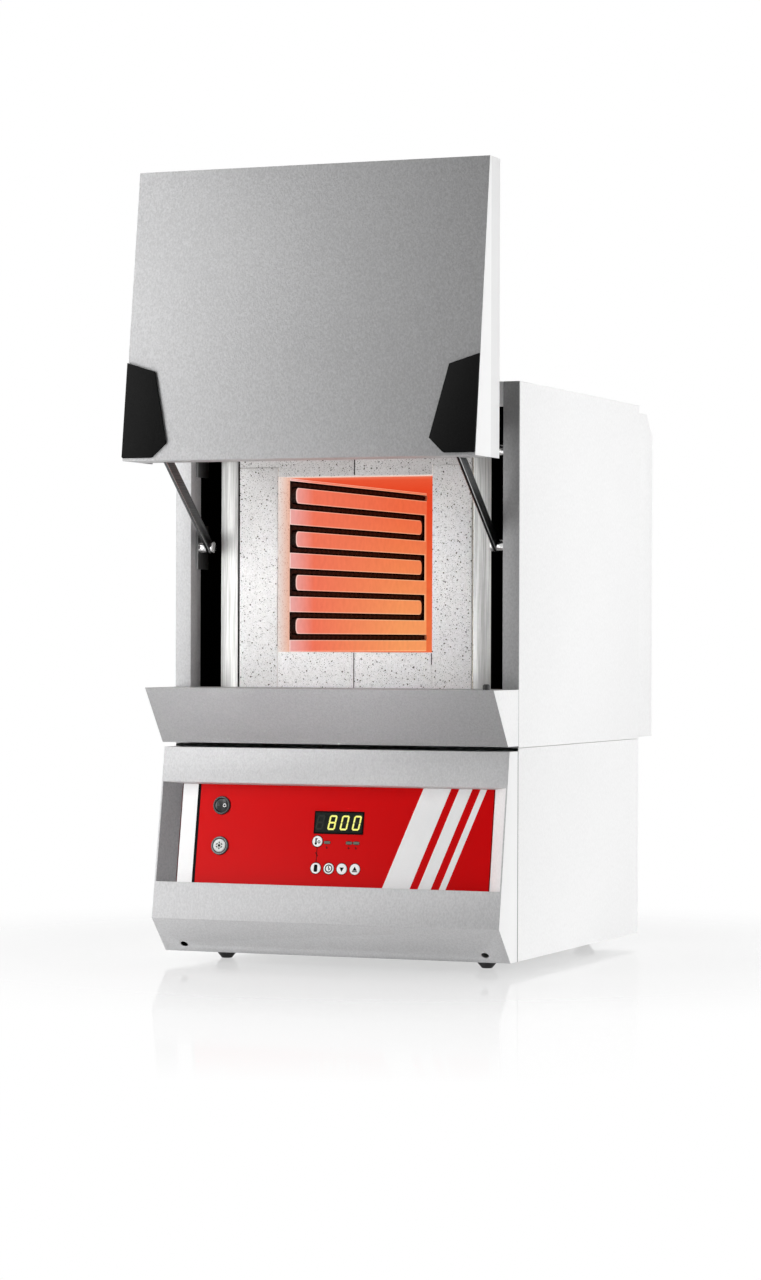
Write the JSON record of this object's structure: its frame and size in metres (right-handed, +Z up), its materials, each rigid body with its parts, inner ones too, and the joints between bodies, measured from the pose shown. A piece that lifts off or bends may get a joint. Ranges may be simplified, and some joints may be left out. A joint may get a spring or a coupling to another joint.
{
  "type": "muffle furnace",
  "caption": "Bench muffle furnace with a parallel-action lifting door, grooved brick chamber with heating coils, and a leaning control panel in its base.",
  "frame": {"origin": "on the bench, in the middle of the whole outline with the door up", "axes": "+Z up, +X to the right as seen from the front, the front and the door face -Y"},
  "size_m": [0.435, 0.7244, 0.9252],
  "materials": {
    "white_powder_coat": "fine textured powder coat, white",
    "grey_powder_coat": "textured silver-grey powder coat",
    "case_steel": "satin stainless sheet",
    "zinc_steel": "zinc-plated steel",
    "firebrick": "insulating firebrick with fine dark pores",
    "hot_brick": "firebrick glowing orange at working heat",
    "backing_board": "light insulating board",
    "coil_wire": "oxidised resistance wire, close-wound",
    "white_ceramic": "unglazed technical ceramic",
    "terminal_brass": "brass clamp",
    "grip_plastic": "black moulded plastic with a fine grain",
    "panel_red": "red printed panel film",
    "display_glass": "dark display window",
    "key_white": "white key face",
    "indicator_grey": "unlit indicator",
    "switch_black": "black moulded switch",
    "button_chrome": "bright metal bezel",
    "button_white": "pale button face",
    "housing_plastic": "dark moulded housing",
    "foot_rubber": "dark rubber"
  },
  "bodies": {
    "cabinet": {"back_panel": "white_powder_coat", "backing_boards": "backing_board", "base_back": "white_powder_coat", "base_fascia": "grey_powder_coat", "base_side_left": "white_powder_coat", "base_side_right": "white_powder_coat", "base_tray": "white_powder_coat", "button_bezel": "button_chrome", "cabinet_floor": "white_powder_coat", "cable_gland": "housing_plastic", "chamber_back": "hot_brick", "chamber_floor": "hot_brick", "chamber_roof": "hot_brick", "chin_panel": "grey_powder_coat", "coil_terminals": "terminal_brass", "column_left": "grey_powder_coat", "column_right": "grey_powder_coat", "control_panel": "panel_red", "controller_housing": "housing_plastic", "display_window": "display_glass", "door_switch_body": "switch_black", "element_wall_left": "hot_brick", "element_wall_right": "hot_brick", "feet": "foot_rubber", "heating_coil_left": "coil_wire", "heating_coil_right": "coil_wire", "indicator_bars": "indicator_grey", "inner_case": "case_steel", "lead_bushings": "white_ceramic", "lintel_bricks": "firebrick", "panel_screws": "zinc_steel", "pivot_brackets": "zinc_steel", "pivot_caps": "zinc_steel", "rear_cover": "white_powder_coat", "rocker_bezel": "switch_black", "side_bricks": "firebrick", "side_panel_left": "white_powder_coat", "side_panel_right": "white_powder_coat", "sill_bricks": "firebrick", "thermocouple": "white_ceramic", "top_cover": "white_powder_coat"},
    "lower_arms": {"lower_arm_left": "zinc_steel", "lower_arm_right": "zinc_steel"},
    "upper_arms": {"upper_arm_left": "zinc_steel", "upper_arm_right": "zinc_steel"},
    "door": {"door_shell": "grey_powder_coat", "door_pan": "case_steel", "door_insulation": "firebrick", "door_handle_left": "grip_plastic", "door_handle_right": "grip_plastic", "door_brackets": "zinc_steel", "door_pin_caps": "zinc_steel"},
    "rocker": {"rocker": "switch_black"},
    "push_button": {"button_cap": "button_white"},
    "page_key": {"key_page": "key_white"},
    "timer_key": {"key_timer": "key_white"},
    "down_key": {"key_down": "key_white"},
    "up_key": {"key_up": "key_white"},
    "temperature_key": {"key_temperature": "key_white"},
    "switch_plunger": {"door_switch_plunger": "switch_black"}
  },
  "joints": [
    {"name": "lower_arms_swing", "type": "hinge", "parent": "cabinet", "child": "lower_arms", "pos_m": [0, -0.19399, 0.491], "axis": [1, 0, 0], "range_deg": [0, 108.3]},
    {"name": "upper_arms_swing", "type": "hinge", "parent": "cabinet", "child": "upper_arms", "pos_m": [0, -0.19399, 0.601], "axis": [1, 0, 0], "range_deg": [0, 108.3]},
    {"name": "door_level", "type": "hinge", "parent": "lower_arms", "child": "door", "pos_m": [0, -0.32077, 0.59738], "axis": [1, 0, 0], "range_deg": [-108.3, 0]},
    {"name": "rocker_tilt", "type": "hinge", "parent": "cabinet", "child": "rocker", "pos_m": [-0.1445, -0.23743, 0.18503], "axis": [0, 0.1647, 0.9863], "range_deg": [-16, 0]},
    {"name": "push_button_press", "type": "slide", "parent": "cabinet", "child": "push_button", "axis": [0, 0.9863, -0.1647], "range_m": [0, 0.002], "stiffness_N_per_m": 150},
    {"name": "page_key_press", "type": "slide", "parent": "cabinet", "child": "page_key", "axis": [0, 0.9863, -0.1647], "range_m": [0, 0.0004], "stiffness_N_per_m": 300},
    {"name": "timer_key_press", "type": "slide", "parent": "cabinet", "child": "timer_key", "axis": [0, 0.9863, -0.1647], "range_m": [0, 0.0004], "stiffness_N_per_m": 300},
    {"name": "down_key_press", "type": "slide", "parent": "cabinet", "child": "down_key", "axis": [0, 0.9863, -0.1647], "range_m": [0, 0.0004], "stiffness_N_per_m": 300},
    {"name": "up_key_press", "type": "slide", "parent": "cabinet", "child": "up_key", "axis": [0, 0.9863, -0.1647], "range_m": [0, 0.0004], "stiffness_N_per_m": 300},
    {"name": "temperature_key_press", "type": "slide", "parent": "cabinet", "child": "temperature_key", "axis": [0, 0.9863, -0.1647], "range_m": [0, 0.0004], "stiffness_N_per_m": 300},
    {"name": "switch_plunger_press", "type": "slide", "parent": "cabinet", "child": "switch_plunger", "axis": [0, 0, -1], "range_m": [0, 0.004], "stiffness_N_per_m": 120}
  ],
  "couplings": [
    {"joint": "upper_arms_swing", "follows": "lower_arms_swing", "ratio": 1},
    {"joint": "door_level", "follows": "lower_arms_swing", "ratio": -1}
  ]
}
